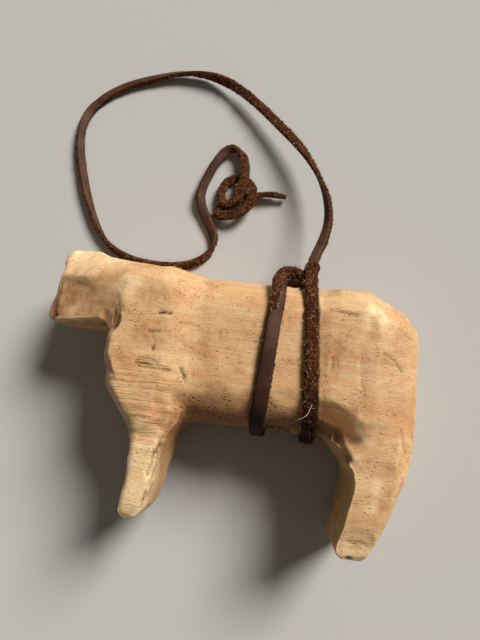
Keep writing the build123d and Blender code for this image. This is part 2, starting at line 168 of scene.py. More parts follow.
cow = dict(
    voxel=0.50,  # mm between points
    settleRounds=3,  # takes the steps out of the even mesh
    filletRounds=26,  # fills the inside corners
    roundRounds=4,  # softens the outside corners
    softRounds=90,  # rubs the softened places
    wearRounds=24,  # gives the smooth shape that wear is measured from
    wearDepth=0.45,  # mm proud of that shape where the wood is fully worn
    facets=44,  # small seeded knife cuts along the corners
    facetReach=(4.0, 8.0),
    facetDepth=(0.04, 0.20),
    facetTilt=0.05,
    seed=46,
    strokeDepth=0.36,  # mm
    shaky=(0.14, 2.6, (14, 15, 16)),  # how far strokes stray, over what size, both in mm, and seeds
    smear=(1.6, 7.0, (11, 12, 13)),  # the same for stains
    # relief: stretch along x, y and z, size in mm, how many waves, seed, and height in mm
    ridges=((0.10, 1.0, 0.4), 1.9, 18, 5, 0.09),  # scraped across the shoulder
    splinters=((1.0, 0.22, 1.0), 1.7, 18, 6, 0.16),  # torn grain
    tornEdge=((-11.5, -19.0, 32.0), (-15.2, -38.0, 32.0)),  # rear edge of the fore leg
    swells=((0.4, 1.0, 1.0), 9.0, 24, 7, 0.08),
    ripples=((0.3, 1.0, 1.0), 3.2, 24, 8, 0.025),
    # hollows: start, end, half width, depth, in mm; a swelling is a hollow of less than nothing
    hollows=[
        ((-57.2, 41.6, 20.0), (-60.6, 37.6, 24.0), 4.4, -1.8),  # forehead's corner
        ((-30.0, -1.0, 36.5), (-19.5, -11.0, 36.5), 6.5, -1.3),  # shoulder runs into the leg
        ((20.0, -12.0, 24.0), (22.4, -12.0, 24.0), 5.0, 1.9),  # scallop under the belly
        ((-9.0, 26.0, 36.0), (-5.0, 6.0, 36.0), 6.0, 0.25),  # dip behind the shoulder
        ((38.2, -10.2, 36.0), (41.2, -16.0, 36.0), 2.8, 1.3),  # torn groove at the top of the hind leg
        ((44.5, 14.0, 38.0), (45.5, 2.0, 38.0), 2.2, 0.16),  # two faint grooves down the haunch
        ((36.6, 19.0, 38.0), (36.0, 9.0, 38.0), 1.8, 0.18),
    ],
    # places rubbed smooth: start, end, half width, in mm
    softened=[
        ((-39.0, 33.0, 35.0), (-38.0, 26.5, 35.0), 8.0),  # neck
        ((-25.4, -19.5, 25.0), (-25.8, -16.5, 25.0), 5.5),  # front of the fore leg
        ((34.5, 29.0, 37.0), (36.0, -1.0, 36.0), 3.0),  # front of the haunch
    ],
    # flat knife cuts: point on the cut, outward direction, reach, in mm
    planes=[
        ((48.8, 28.0, 37.0), (0.40, 0.53, 0.75), 12.0),  # rump's upper corner
        ((40.1, -5.1, 36.4), (-0.22, -0.38, 0.90), 11.0),  # flank in front of the thigh
        ((-21.6, -40.4, 33.8), (-0.12, -0.60, 0.79), 6.0),  # fore foot
        ((47.0, -40.6, 34.6), (0.0, -0.26, 0.97), 8.0),  # hind foot, in two cuts
        ((46.0, -44.0, 33.0), (0.05, -0.62, 0.78), 6.0),
        ((59.6, -8.0, 35.4), (0.62, -0.06, 0.78), 13.0),  # back of the thigh
        ((-34.6, 18.5, 35.2), (-0.45, -0.35, 0.82), 5.5),  # scoop behind the jaw
    ],
    # stains, with painted light and painted shade among them: place, size in mm
    pale=[
        ((-22.6, -39.5, 33.0), 4.0), ((-20.5, -36.0, 34.0), 14.0), ((-19.5, -24.0, 36.0), 13.0),  # fore leg
        ((-44.0, 41.0, 27.0), 16.0), ((-52.0, 39.0, 26.0), 10.0), ((-50.0, 21.0, 30.0), 6.0),  # head; the small spot at the jaw's corner is painted light on the shaded cheek
        ((47.0, -42.0, 33.0), 8.0), ((50.0, -26.0, 36.0), 6.0), ((44.9, -9.8, 35.5), 4.5),  # hind leg; the small spot at the flank's hollow is painted light over its shade
        ((48.0, 27.5, 37.0), 9.0), ((-30.5, 28.5, 37.5), 7.0),  # rump's corner, and painted light on the shaded fold of the neck
    ],
    rust=[
        ((-46.0, 30.5, 33.0), 10.0), ((-41.0, 27.0, 33.0), 8.0), ((-52.0, 27.0, 30.0), 9.0),  # cheek
        ((-46.5, 23.5, 31.0), 9.0), ((-24.0, 18.0, 37.0), 9.0),
        ((40.0, -5.0, 35.0), 9.0), ((38.0, 15.0, 38.0), 7.0), ((52.0, 17.0, 37.0), 8.0),  # flank and haunch
    ],
    umber=[
        # the flank spots are the wood's brown, warmed and darkened further as painted shade
        ((39.5, -4.5, 35.0), 9.0), ((35.5, -2.0, 35.0), 6.0), ((41.5, -12.0, 34.0), 6.0),
        # the spot at (-34.8, 18.6) is painted shade in the scoop behind the jaw
        ((38.6, -12.6, 35.0), 4.0), ((-34.8, 18.6, 35.0), 4.0),
    ],
    red=[((-58.5, 21.5, 25.0), 6.5), ((-57.0, 18.5, 25.0), 5.0)],  # muzzle
    sootAndShade=[
        ((39.0, -11.4, 33.4), 4.6), ((41.0, -14.0, 33.4), 4.0), ((43.0, -17.4, 35.8), 2.8),  # torn groove: stained pits, darkened further as painted shade in the hole
        ((-46.0, 15.5, 25.0), 6.0), ((-39.0, 15.5, 27.0), 6.0),  # painted shade under the jaw
    ],
    # thin cuts and cracks: start, end, half width, in mm, and how dark
    strokes=[
        ((-56.4, 31.4, 27.6), (-57.4, 26.6, 26.8), 0.36, 0.70),  # crack down the face, and the nostril
        ((-57.4, 26.6, 26.8), (-58.3, 21.6, 26.0), 0.36, 0.80),
        ((-57.9, 19.2, 25.6), (-57.0, 18.3, 25.6), 0.60, 0.95),
        ((-33.6, 25.3, 36.5), (-31.8, 20.1, 37.0), 0.50, 0.42),  # edges of the scoop behind the jaw
        ((-31.8, 20.1, 37.0), (-33.6, 15.2, 35.0), 0.60, 0.50),
        ((-33.8, 25.0, 36.2), (-37.6, 18.5, 33.5), 0.45, 0.34),
        ((-13.0, -19.0, 33.0), (-14.2, -21.5, 33.0), 0.55, 0.95),  # torn grain on the fore leg
        ((-14.6, -21.0, 34.0), (-15.6, -28.0, 33.5), 0.45, 0.80),
        ((-13.6, -24.5, 32.0), (-14.6, -31.0, 31.0), 0.40, 0.70),
        ((-15.4, -33.0, 32.5), (-16.4, -37.5, 32.0), 0.50, 0.90),
        ((-11.8, -20.0, 31.0), (-13.2, -27.5, 31.0), 0.45, 0.80),
        ((-12.6, -25.5, 30.0), (-14.4, -34.0, 30.0), 0.45, 0.75),
        ((50.8, 15.6, 38.0), (53.6, 14.4, 38.0), 0.40, 0.45),  # rump
        ((53.6, 14.4, 38.0), (56.2, 11.2, 37.0), 0.36, 0.55),
        ((51.5, 13.0, 38.0), (53.5, 12.4, 38.0), 0.36, 0.40),
        ((-18.9, 20.9, 38.0), (-15.4, 21.2, 37.9), 0.45, 1.00),  # shoulder
        ((-25.1, 14.6, 38.0), (-22.6, 15.0, 38.0), 0.40, 0.42),
        ((-21.4, 14.7, 38.0), (-18.0, 15.2, 38.0), 0.50, 0.80),
        ((-16.6, 15.5, 37.8), (-14.9, 15.4, 37.6), 0.40, 0.38),
        ((-14.0, 15.8, 37.6), (-11.8, 16.2, 37.4), 0.46, 0.55),
        ((-19.9, 13.4, 38.0), (-19.7, 13.2, 38.0), 0.36, 0.60),
        ((-19.4, 11.9, 38.0), (-19.3, 11.7, 38.0), 0.34, 0.50),
        ((-19.5, 10.0, 38.0), (-19.2, 9.3, 38.0), 0.46, 0.85),
        ((-23.4, 6.1, 38.0), (-17.0, 5.6, 38.0), 0.45, 0.60),
        ((-23.8, 4.9, 38.0), (-19.3, 4.4, 38.0), 0.50, 0.85),
        ((-23.0, 3.7, 38.0), (-13.2, 3.5, 37.2), 0.45, 0.55),
        ((-9.9, 4.4, 36.3), (-8.3, 1.2, 35.8), 0.55, 0.70),
        ((0.2, 17.6, 35.5), (0.5, 15.1, 35.5), 0.40, 0.35),  # barrel
        ((-12.2, 18.9, 37.0), (-6.6, 18.5, 35.5), 0.40, 0.45),
        ((-22.6, -11.8, 36.1), (-17.4, -11.6, 35.8), 0.50, 0.40),  # top of the fore leg
        ((-22.1, -15.2, 36.0), (-16.6, -14.9, 36.0), 0.50, 0.42),
        ((-23.8, -9.4, 35.3), (-17.8, -9.2, 35.6), 0.45, 0.36),
        ((33.8, 27.3, 35.6), (37.6, 27.0, 37.2), 0.45, 0.50),  # haunch
        ((37.6, 27.0, 37.2), (41.8, 26.3, 38.0), 0.50, 0.60),
        ((36.9, 18.3, 38.0), (36.3, 14.0, 38.0), 0.45, 0.20),
        ((35.8, 12.7, 37.7), (35.8, 9.7, 37.6), 0.45, 0.45),
        ((44.3, 13.6, 38.0), (45.4, 1.9, 38.0), 0.55, 0.30),
        ((57.2, -5.9, 36.5), (58.5, -12.6, 36.0), 0.55, 0.45),  # thigh and hind foot
        ((41.9, -38.4, 34.4), (49.4, -38.8, 34.9), 0.50, 0.50),
        ((44.6, -43.2, 33.0), (45.6, -43.6, 33.0), 0.55, 0.80),
    ],
)


def neighbourMean(points, edges):  # each point's neighbours along the mesh edges, averaged
    count = np.bincount(edges.ravel(), minlength=len(points))
    near, far = edges.T
    total = [
        np.bincount(near, points[far, axis], len(points)) + np.bincount(far, points[near, axis], len(points))
        for axis in range(points.shape[1])
    ]
    return np.stack(total, 1) / count[:, None]


def pointNormals(points, quads):  # outward direction at each point, the sum of its faces' crossed diagonals
    first, second, third, fourth = (points[quads[:, k]] for k in range(4))
    across = np.cross(third - first, fourth - second)
    total = [np.bincount(quads.ravel(), np.repeat(across[:, axis], 4), len(points)) for axis in range(3)]
    return unit(np.stack(total, 1))


def strokeReach(points, start, end):  # distance to a cut's line; height above the flank counts little
    flat = np.array((1.0, 1.0, 0.15))
    first, last = np.array(start) * flat, np.array(end) * flat
    run = last - first
    share = np.clip((points * flat - first) @ run / (run @ run), 0, 1)
    return np.linalg.norm(points * flat - first - share[:, None] * run, axis=1)


def pressFacet(points, place, outward, reach):  # what stands proud of a plane, inside its reach, is cut back to it
    outward = unit(np.array(outward))
    away = points - np.array(place)
    proud = away @ outward
    beside = np.linalg.norm(away - proud[:, None] * outward, axis=1)
    shallow = 1 - ease(proud, 3.5, 6.0)  # what stands far out is another form, and stays
    cut = np.clip(proud, 0, None) * (1 - ease(beside, 0.6 * reach, reach)) * shallow
    return points - cut[:, None] * outward


def raised(points, level, share, most):  # points brought up to a level, by a share of what is missing
    x, y, z = points.T
    return np.stack([x, y, z + share * np.clip(level - z, 0, most)], 1)


def levelAlong(y, z, strip):  # the height of a strip of points, read off at any y
    order = np.argsort(y[strip])
    return np.interp(y, y[strip][order], z[strip][order])


cheek = dict(
    level=31.2,  # mm, at the middle
    middle=(-50.0, 30.0),  # x and y
    slope=(0.36, 0.10),  # along x and y
    x=((-60, -56.5), (-35.5, -32.8)),  # where it eases in and out
    y=((13, 16.5), (29, 32)),
    facing=(0.1, 0.5),  # how much a point faces the near side
    most=3.0,
)


def fillCheek(points, normals):  # on the near side the cheek is one flat plane from the brow to the jaw
    x, y = points[:, :2].T
    level = cheek["level"] + (points[:, :2] - cheek["middle"]) @ np.array(cheek["slope"])
    inside = within(x, *cheek["x"]) * within(y, *cheek["y"]) * ease(normals[:, 2], *cheek["facing"])
    return raised(points, level, inside, cheek["most"])


haunch = dict(
    strip=(38, 41),  # x of the strip whose height is carried forward
    edge=(29.3, 33.0, 0.082),  # the lace's rear edge: x at a y, and its lean
    fall=(0.9, 5.0),  # mm that the front is lower by, and over what length
    y=((-9, -3), (31, 34.5)),  # where it eases in and out
    facing=(0.0, 0.4),
    most=2.6,
)


def fillHaunch(points, normals):  # on the near side the haunch runs forward to the rear turn of the lace
    x, y, z = points.T
    first, last = haunch["strip"]
    level = levelAlong(y, z, (x > first) & (x < last) & (normals[:, 2] > 0))
    edgeX, edgeY, lean = haunch["edge"]
    behind = x - edgeX - lean * (edgeY - y)
    lower, length = haunch["fall"]
    level = level - lower * (1 - ease(behind, 0, length))
    inside = ease(behind, 0.0, 0.7) * (x < first + 0.5) * within(y, *haunch["y"])
    return raised(points, level, inside * ease(normals[:, 2], *haunch["facing"]), haunch["most"])


hindLeg = dict(
    middle=((-44, -14), (45.0, 50.0)),  # y of the foot and of the top, and x of the leg's middle there
    top=(-19, -14),  # y where the fill eases out
    slope=0.03,
    facing=(0.15, 0.5),
    most=3.5,
)


def squareLeg(points, normals):  # on the near side the hind leg's front edge is left square
    x, y, z = points.T
    middle = np.interp(y, *hindLeg["middle"])
    level = levelAlong(y, z, (np.abs(x - middle) < 1) & (normals[:, 2] > 0.5) & (y < -8))
    level = level - hindLeg["slope"] * (middle - x)
    inside = (x < middle) * ease(normals[:, 2], *hindLeg["facing"]) * (1 - ease(y, *hindLeg["top"]))
    return raised(points, level, inside, hindLeg["most"])


def shaken(points, far, size, seeds):  # points strayed by soft noise, one seed for each direction
    return points + far * np.stack([waves(points, size, 16, seed) for seed in seeds], 1)


def relief(points, stretch, size, count, seed, height):  # soft noise drawn out along an axis, in mm
    return waves(points * stretch, size, count, seed) * height


def stained(points, spots):  # 1 at the middle of a stain, easing to 0 at its size
    away = [1 - ease(np.linalg.norm(points - np.array(place), axis=1), 0.25 * size, size) for place, size in spots]
    return np.max(away, axis=0)


def evenMesh(node, voxel):  # the sawn shape as even quads, one voxel apart
    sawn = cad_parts[node].data.copy()
    welded = bmesh.new()
    welded.from_mesh(sawn)
    bmesh.ops.remove_doubles(welded, verts=welded.verts, dist=1e-6)
    welded.to_mesh(sawn)
    welded.free()
    blank = bpy.data.objects.new("blank", sawn)
    scene.collection.objects.link(blank)
    even = blank.modifiers.new("even", "REMESH")
    even.mode = "VOXEL"
    even.voxel_size = voxel * perMm
    mesh = bpy.data.meshes.new_from_object(blank.evaluated_get(bpy.context.evaluated_depsgraph_get()))
    bpy.data.objects.remove(blank)
    return mesh


def evened(points, edges, rounds, share=0.5):  # each round brings a point a share of the way to its neighbours
    for _ in range(rounds):
        points = points + share * (neighbourMean(points, edges) - points)
    return points


def filled(points, edges, quads, rounds):  # a point lower than its neighbours moves up to them
    for _ in range(rounds):
        pull = neighbourMean(points, edges) - points
        normals = pointNormals(points, quads)
        rise = (pull * normals).sum(1, keepdims=True)
        points = points + 0.5 * np.clip(rise, 0, None) * normals
    return points


def formCow(points, edges, quads):  # the fills, the rubbed places, the flat cuts and the hollows
    points = evened(points, edges, cow["settleRounds"])
    points = filled(points, edges, quads, cow["filletRounds"])
    points = evened(points, edges, cow["roundRounds"])
    for fill in (fillCheek, fillHaunch, squareLeg):
        points = fill(points, pointNormals(points, quads))
    soft = [1 - ease(strokeReach(points, start, end), 0.5 * wide, wide) for start, end, wide in cow["softened"]]
    points = evened(points, edges, cow["softRounds"], 0.5 * np.max(soft, axis=0)[:, None])
    for place, outward, reach in cow["planes"]:
        points = pressFacet(points, place, outward, reach)
    normals = pointNormals(points, quads)
    for start, end, halfWidth, depth in cow["hollows"]:
        near = 1 - ease(strokeReach(points, start, end), 0.2 * halfWidth, halfWidth)
        points = points - (near * (normals[:, 2] > -0.2) * depth)[:, None] * normals
    return points, normals


def whittle(points, normals, edges):  # small knife cuts at random outside corners
    rng = np.random.default_rng(cow["seed"])
    bend = ((points - neighbourMean(points, edges)) * normals).sum(1)  # proud of its neighbours: an outside corner
    x, y, z = points.T
    rubbed = (x < -12) | ((x > 24) & (x < 46) & (z > 28))  # the head, the chest and the front of the haunch stay smooth
    chance = np.clip(bend, 1e-5, 0.05) * ~rubbed
    spots = rng.choice(len(points), cow["facets"], replace=False, p=chance / chance.sum())
    for spot in spots:
        lean = unit(normals[spot] + cow["facetTilt"] * rng.normal(size=3))
        place = points[spot] - rng.uniform(*cow["facetDepth"]) * lean
        points = pressFacet(points, place, lean, rng.uniform(*cow["facetReach"]))
    return points


def scored(points, nearSide):  # how deep in a stroke each point is, from 0 to 1
    strayed = shaken(points, *cow["shaky"])
    cut = np.zeros(len(points))
    for start, end, halfWidth, dark in cow["strokes"]:
        away = strokeReach(strayed, start, end)
        cut = np.maximum(cut, nearSide * dark * np.clip(1 - away / (1.9 * halfWidth), 0, 1))
    return cut


def roughened(points, normals, nearSide):  # tool ridges on the shoulder, torn grain on the leg, ripples all over
    x, y, z = points.T
    shoulder = within(x, (-36, -30), (-16, -8)) * within(y, (-25, -14), (4, 12))
    torn = 1 - ease(strokeReach(points, *cow["tornEdge"]), 1.2, 3.2)
    height = relief(points, *cow["ridges"]) * shoulder * nearSide
    height = height + relief(points, *cow["splinters"]) * torn * ease(z, 18, 28)
    height = height + relief(points, *cow["swells"]) + relief(points, *cow["ripples"])
    return points + height[:, None] * normals


def paintCow(mesh, points, wear, cut):  # what the wood's material reads
    x, y, z = points.T
    smeared = shaken(points, *cow["smear"])
    for stain in ("pale", "rust", "umber", "red", "sootAndShade"):
        addValues(mesh, stain, stained(smeared, cow[stain]))
    addValues(mesh, "wear", np.clip(wear / cow["wearDepth"], -1, 1))
    addValues(mesh, "cut", cut)
    # lower belly: its wood is darker, and painted shade deepens it
    addValues(mesh, "belly", (1 - ease(smeared[:, 1], -10, 2)) * within(x, (-20, -4), (33, 40)))
    addValues(mesh, "tooled", within(x, (-38, -31), (-18, -7)) * within(y, (-30, -14), (3, 14)))


def carveCow():
    mesh = evenMesh("carved_cow", cow["voxel"])
    points = readPoints(mesh)
    edges = np.zeros(len(mesh.edges) * 2, dtype=np.int32)
    mesh.edges.foreach_get("vertices", edges)
    edges = edges.reshape(-1, 2)
    quads = np.zeros(len(mesh.loops), dtype=np.int32)
    mesh.loops.foreach_get("vertex_index", quads)
    quads = quads.reshape(-1, 4)
    points, normals = formCow(points, edges, quads)
    points = whittle(points, normals, edges)
    normals = pointNormals(points, quads)
    nearSide = ease(normals[:, 2], -0.1, 0.4)
    cut = scored(points, nearSide)
    points = points - (cow["strokeDepth"] * ease(cut, 0.15, 0.9))[:, None] * normals
    points = evened(roughened(points, normals, nearSide), edges, 1, 0.3)
    wear = points - evened(points, edges, cow["wearRounds"])
    wear = (wear * pointNormals(points, quads)).sum(1)
    low, high = (np.array(corner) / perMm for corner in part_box("carved_cow"))
    points = np.clip(points, low, high)  # nothing stands out of the CAD box
    mesh.vertices.foreach_set("co", (points * perMm).ravel())
    paintCow(mesh, points, wear, cut)
    smoothFaces(mesh)
    mesh.name = "whittled_cow"
    return mesh


woodTones = dict(
    pale=tone(228, 191, 141),
    tan=tone(214, 165, 114),
    honey=tone(196, 140, 91),
    rust=tone(178, 112, 73),
    brown=tone(140, 95, 57),
    umber=tone(140, 85, 40),
    fleck=tone(166, 88, 56),
    dark=tone(70, 41, 22),
    red=tone(182, 108, 80),
    chalk=tone(255, 224, 174),
)


def woodMaterial():
    bench = nodeBench("whittled_wood")
    mm = bench.millimetres()
    drift = bench.put("ShaderNodeTexNoise", {"Vector": mm, "Scale": 0.05, "Detail": 2.0}).outputs["Color"]
    wavy = bench.vector("ADD", mm, bench.stretch(drift, 0.0, 7.0, 7.0))
    bands = bench.noise(bench.stretch(wavy, 0.035, 0.50, 0.50), 1.0, 5.0, 0.62)
    streaks = bench.noise(bench.stretch(wavy, 0.14, 2.4, 2.4), 1.0, 4.0, 0.65)
    strands = bench.noise(bench.stretch(wavy, 0.7, 7.0, 7.0), 1.0, 2.0, 0.6)
    blotch = bench.noise(mm, 0.10, 5.0, 0.65)
    mottle = bench.noise(mm, 0.42, 4.0, 0.65)
    colour = bench.mix(bench.step(bands, 0.30, 0.70), woodTones["pale"], woodTones["tan"])
    colour = bench.mix(bench.step(blotch, 0.44, 0.72, 0.0, 0.75), colour, woodTones["honey"])
    colour = bench.mix(bench.step(streaks, 0.50, 0.74, 0.0, 0.34), colour, woodTones["brown"])
    colour = bench.mix(bench.step(strands, 0.35, 0.75, 0.0, 0.25), colour, woodTones["honey"])
    rusty = bench.times(bench.step(mottle, 0.54, 0.70), bench.step(blotch, 0.46, 0.62))
    colour = bench.mix(bench.times(rusty, 0.60), colour, woodTones["rust"])

    # the lower belly is browner, partly as painted shade; the head's top, the feet and the rump's corner are paler, and
    # the pale spots on the cheek, the neck's fold and the flank are painted light
    belly = bench.reading("belly")
    # the lower belly darkens to umber: partly the wood's darker brown, partly painted shade on the underside
    colour = bench.mix(bench.times(belly, 0.86), colour, woodTones["umber"])
    paleAndLit = bench.times(bench.reading("pale"), bench.step(mottle, 0.34, 0.56, 0.5, 1.0))
    colour = bench.mix(bench.times(paleAndLit, 0.76), colour, woodTones["chalk"])

    # dark pores, short dashes along the grain, thicker on the belly; fine and red flecks between them
    dash = bench.step(bench.cells(bench.stretch(wavy, 0.50, 1.15, 1.15)), 0.25, 0.09)
    patch = bench.step(bench.noise(mm, 0.13, 3.0, 0.6), 0.42, 0.58)
    pores = bench.times(dash, bench.number("MAXIMUM", bench.times(patch, 0.75), belly))
    holes = bench.step(bench.cells(bench.stretch(wavy, 0.70, 1.05, 1.05)), 0.36, 0.20)
    holes = bench.times(holes, bench.step(belly, 0.25, 0.75))
    pores = bench.number("MAXIMUM", pores, holes)
    fine = bench.step(bench.cells(bench.stretch(wavy, 1.5, 3.2, 3.2)), 0.22, 0.06)
    fine = bench.times(fine, bench.step(streaks, 0.44, 0.60))
    dots = bench.step(bench.cells(bench.stretch(mm, 0.62, 0.95, 0.95)), 0.30, 0.10)
    dots = bench.times(dots, bench.step(mottle, 0.44, 0.58))
    colour = bench.mix(bench.times(fine, 0.60), colour, woodTones["rust"])
    colour = bench.mix(bench.times(dots, 0.75), colour, woodTones["fleck"])
    colour = bench.mix(bench.times(pores, 0.85), colour, woodTones["dark"])

    # stains, and painted shade: umber in the scoop behind the jaw and on the flank, soot under the jaw and in the torn
    # groove
    colour = bench.mix(bench.times(bench.reading("umber"), 0.60), colour, woodTones["umber"])
    colour = bench.mix(bench.times(bench.reading("red"), 0.65), colour, woodTones["red"])
    blotted = bench.times(bench.reading("rust"), bench.step(mottle, 0.42, 0.60))
    colour = bench.mix(bench.times(blotted, 0.40), colour, woodTones["rust"])
    # painted shade under the jaw, and in the torn groove's hole over its stained pits
    shadedSoot = bench.times(bench.reading("sootAndShade"), bench.step(mottle, 0.36, 0.58, 0.35, 1.0))
    colour = bench.mix(bench.times(shadedSoot, 0.80), colour, woodTones["dark"])

    # worn corners are pale; inside corners are darkened with painted shade
    wear = bench.reading("wear")
    rub = bench.step(bench.noise(mm, 0.3, 3.0), 0.35, 0.6, 0.2, 0.9)
    rub = bench.times(bench.step(wear, 0.15, 0.8), rub)
    colour = bench.mix(bench.times(rub, 0.4), colour, woodTones["chalk"])
    creaseShade = bench.step(wear, -0.12, -0.75)
    colour = bench.mix(bench.times(creaseShade, 0.7), colour, woodTones["brown"])

    # knife strokes and cracks, broken along their length
    torn = bench.noise(bench.stretch(mm, 0.40, 3.4, 3.4), 1.0, 3.0, 0.65)
    cuts = bench.times(bench.reading("cut"), bench.step(torn, 0.42, 0.60, 0.50, 1.35))
    colour = bench.mix(bench.step(cuts, 0.16, 0.60, 0.0, 0.60), colour, woodTones["brown"])
    colour = bench.mix(bench.step(cuts, 0.50, 0.95, 0.0, 0.92), colour, woodTones["dark"])
    bench.shade("Base Color", colour)

    rough = bench.plus(0.52, bench.times(streaks, 0.16))
    bench.shade("Roughness", bench.number("SUBTRACT", rough, bench.times(rub, 0.12)))
    bench.shade("Specular IOR Level", 0.35)
    scrape = bench.noise(bench.stretch(mm, 0.10, 1.1, 0.4), 1.0, 3.0, 0.55, 0.4)
    grain = bench.plus(bench.times(streaks, 0.7), bench.times(strands, 0.5))
    grain = bench.plus(grain, bench.times(bench.times(scrape, bench.reading("tooled")), 2.2))
    sunk = bench.plus(bench.times(pores, 0.8), bench.times(cuts, 1.6))
    bench.shade("Normal", bench.bump(bench.number("SUBTRACT", grain, sunk), 0.00028, 0.8))
    return bench.material


cowMesh = carveCow()
cowPiece = addPiece("whittled_cow", cowMesh, woodMaterial(), "cow")
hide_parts("carved_cow")
print("cow carved,", len(cowMesh.polygons), "faces")


# The leather lace: one flat strap, smooth grain on one side and fuzzy flesh on the other

lace = dict(
    ring=0.30,  # mm between rings
    around=26,  # points round the strap
    flat=(0.42, 0.62),  # how square the section is, across and through
    swell=(0.05, 0.021),  # by what share the width swells, and how many times a mm
    rough=0.088,  # mm that the flesh side is roughened by
)

girth = dict(
    middle=(13.05, 19.0),  # y and z of the barrel's middle
    halfFlat=(9.93, 1.98),  # straight half sides of the turn, in y and z
    radius=15.95,
    # angle round the barrel from the back towards the near side, and x there
    lean=[(50, 27.8), (130, 31.0), (230, 31.0), (318, 25.8), (415, 17.9), (492, 14.8), (590, 15.2), (676, 17.6)],
    firstTurn=(58, 318, 14),  # from and to angle, and points
    secondTurn=(418, 690, 15),
    cornerPull=2.6,  # how soon a round corner becomes a straight side
    edgeLift=0.55,  # mm that the lace stands further out where it is on its edge
    edgeNap=0.12,  # share of the fibres that stand on the edges
    steps=10,  # of the spline, between two points of the route
    seed=17,
    fibres=3800,
    longest=2.3,  # mm
    fibreSeed=23,
    darkRange=(-9, 11),  # y between which the lace darkens towards the belly
    grainDarkness=0.42,  # how dark its grain side is all over
    root=[(27.6, 45.5, 23.6), (27.6, 41.3, 26.8), (27.6, 37.0, 30.1)],
    bight=[
        (26.2, 39.6, 12.0), (26.6, 40.6, 17.0), (25.4, 41.4, 21.2), (23.0, 41.9, 24.4), (20.3, 41.1, 27.2),
        (18.2, 39.2, 29.6), (17.3, 36.3, 31.9),
    ],
    tuck=[
        (17.9, 39.2, 17.0), (19.4, 39.3, 20.6), (21.8, 38.2, 23.6), (24.6, 38.0, 24.8), (25.8, 42.2, 25.6),
        (26.9, 45.6, 25.6), (28.7, 45.6, 24.9), (29.6, 44.8, 23.2), (28.9, 43.8, 21.6),
    ],
    # the route's point, and the lace's width, its thickness, and how much of its grain is rubbed to fuzz there
    width=[(0, 3.9), (21, 3.9), (23, 5.0), (27, 4.5), (37, 4.4), (40, 3.9), (42.5, 2.2), (47, 2.2)],
    thick=[(0, 1.9), (40, 1.9), (42.5, 1.4), (47, 1.4)],
    fuzzy=[(16, 0), (17.5, 1), (22.2, 1), (23.2, 0)],
    frayed=[(21.5, 0), (22.5, 1), (23.8, 1), (25.2, 0)],  # its left half only
    # the route's point and how far the lace is turned over there: 0 grain out, 180 flesh out
    turnOver=[
        (0, 180), (19, 180), (20.5, 215), (21.5, 262), (22.5, 310), (23.5, 335), (25, 345), (28, 360),
        (38, 360), (40, 430), (42, 520), (44, 540), (48, 540),
    ],
)

lead = dict(
    width=3.6,
    thick=1.9,
    knotWidth=3.4,
    knotThick=2.4,
    tailWidth=1.0,  # at the tip
    knotPoint=36,  # the route's point where the knot begins
    onFloor=(9, 14),  # the route's points where it comes down to the floor
    restHeight=2.05,  # mm, of the route where it lies on the floor
    edgeNap=0.7,
    steps=16,
    seed=18,
    fibres=10000,
    longest=1.2,
    fibreSeed=29,
    route=[
        (27.6, 45.5, 23.6), (28.2, 49.0, 21.9), (30.6, 55.6, 19.2), (32.5, 64.8, 16.2), (31.6, 74.8, 13.4),
        (28.0, 85.0, 10.9), (22.6, 94.9, 8.9),
        (15.8, 103.3, 7.4), (7.8, 111.5, 6.0), (-1.0, 120.2, 5.0), (-10.6, 127.9, 4.0), (-21.2, 133.0, 3.2),
        (-33.4, 134.3, 2.6), (-47.9, 131.0, 2.2), (-61.2, 126.0, 2.1), (-71.2, 117.9, 2.1), (-75.0, 109.0, 2.1),
        (-75.0, 99.6, 2.1), (-72.0, 87.6, 2.1), (-67.1, 74.5, 2.1), (-61.2, 62.4, 2.1), (-54.3, 53.3, 2.1),
        (-44.6, 48.2, 2.1), (-32.8, 46.5, 2.1), (-21.7, 47.5, 2.1), (-14.3, 51.2, 2.1), (-10.7, 57.1, 2.1),
        (-12.0, 63.0, 2.3), (-16.0, 69.0, 2.6), (-18.6, 74.3, 3.0), (-19.2, 79.6, 3.3), (-17.6, 85.4, 3.5),
        (-15.2, 91.6, 3.4), (-12.6, 96.9, 3.0), (-8.6, 100.2, 2.6), (-4.3, 98.3, 2.4),
        (-2.3, 92.0, 3.2), (-1.8, 86.4, 4.9), (-2.6, 81.3, 5.3), (-3.8, 76.9, 5.0), (-6.2, 74.0, 4.4),
        (-9.4, 74.9, 3.3), (-11.2, 79.2, 2.1), (-10.1, 84.4, 1.6), (-6.4, 87.2, 1.5), (-1.4, 86.6, 1.8),
        (2.2, 81.7, 4.3), (2.0, 75.4, 4.9), (-1.7, 70.9, 4.6), (-6.9, 69.4, 3.5), (-12.3, 70.3, 2.1),
        (-10.2, 74.2, 1.4), (-3.4, 77.4, 1.4), (1.5, 79.6, 1.6), (5.2, 80.2, 2.6), (10.0, 80.7, 3.0), (15.6, 80.1, 2.4),
    ],
    # the route's point and how far the lace is turned over there: 0 grain up, 180 flesh up
    turnOver=[
        (0, 325), (2, 325), (4, 292), (5.5, 240), (7, 195), (9.5, 165), (10.8, 110), (12, 45), (13, 22), (14.5, 15),
        (16, -35), (18.5, -50), (20, -75), (21.5, -115), (24, -135), (25.5, -95), (26.5, -35), (28, -5),
        (29.5, 25), (31, 5), (33, 20), (34.2, 80), (35.4, 150), (37, 185), (44, 205), (48, 170), (52, 180),
        (54, 120), (56, 70),
    ],
)


